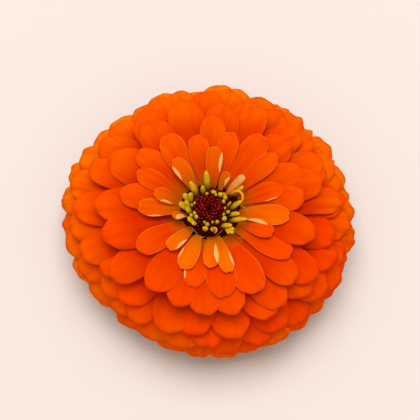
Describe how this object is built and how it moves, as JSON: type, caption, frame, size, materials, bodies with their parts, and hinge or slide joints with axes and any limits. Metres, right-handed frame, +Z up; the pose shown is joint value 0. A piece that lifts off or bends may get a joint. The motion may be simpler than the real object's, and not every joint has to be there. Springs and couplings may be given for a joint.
{
  "type": "zinnia flower",
  "caption": "Double zinnia head with overlapping orange ray petals round a maroon disc, lime young florets, green involucre and a short cut stem, resting on its lowest petals.",
  "frame": {"origin": "on the surface the head rests on, under the middle of its outline", "axes": "+Z up through the disc of the head, -Y towards the side seen from the front, +X to the right"},
  "size_m": [0.1026, 0.0958, 0.041],
  "materials": {
    "orange_petal": "satin petal",
    "maroon_chaff": "dry papery scale",
    "lime_floret": "waxy bud",
    "green_bract": "matt leafy bract",
    "green_stem": "matt hairy stem"
  },
  "bodies": {
    "root": {"ray_petals": "orange_petal", "disc_chaff": "maroon_chaff", "young_florets": "lime_floret", "involucre": "green_bract", "stem": "green_stem"}
  },
  "joints": []
}
